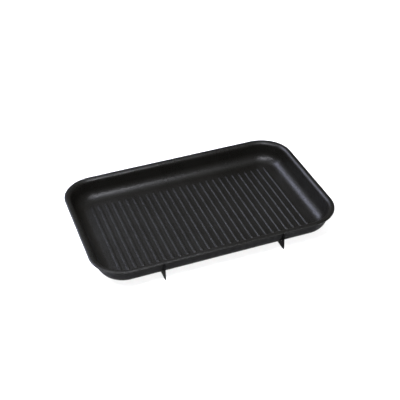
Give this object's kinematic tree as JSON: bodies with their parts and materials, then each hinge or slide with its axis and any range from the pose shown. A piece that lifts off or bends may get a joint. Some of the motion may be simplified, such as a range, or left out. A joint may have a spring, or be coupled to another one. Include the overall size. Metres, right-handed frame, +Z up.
{
  "type": "hibachi grill plate",
  "caption": "Shallow rectangular ribbed grill plate with a flanged rim and rounded corners, on two thin sheet-metal rails fixed under its floor.",
  "frame": {"origin": "centre of the footprint, on the surface that the rails stand on", "axes": "+X along the plate's long side, +Y along the cooking ribs, away from the viewer, +Z up"},
  "size_m": [0.35, 0.228, 0.0346],
  "materials": {
    "nonstick_aluminium": "satin black non-stick coating on cast aluminium",
    "black_steel": "satin black heat-resistant paint on 1.5 mm steel sheet",
    "bare_aluminium": "bare drawn aluminium",
    "zinc_steel": "zinc-plated steel"
  },
  "bodies": {
    "root": {"grill_plate": "nonstick_aluminium", "left_rail": "black_steel", "right_rail": "black_steel", "left_rail_studs": "bare_aluminium", "right_rail_studs": "bare_aluminium", "left_rail_washers": "zinc_steel", "right_rail_washers": "zinc_steel", "left_rail_nuts": "zinc_steel", "right_rail_nuts": "zinc_steel"}
  },
  "joints": []
}
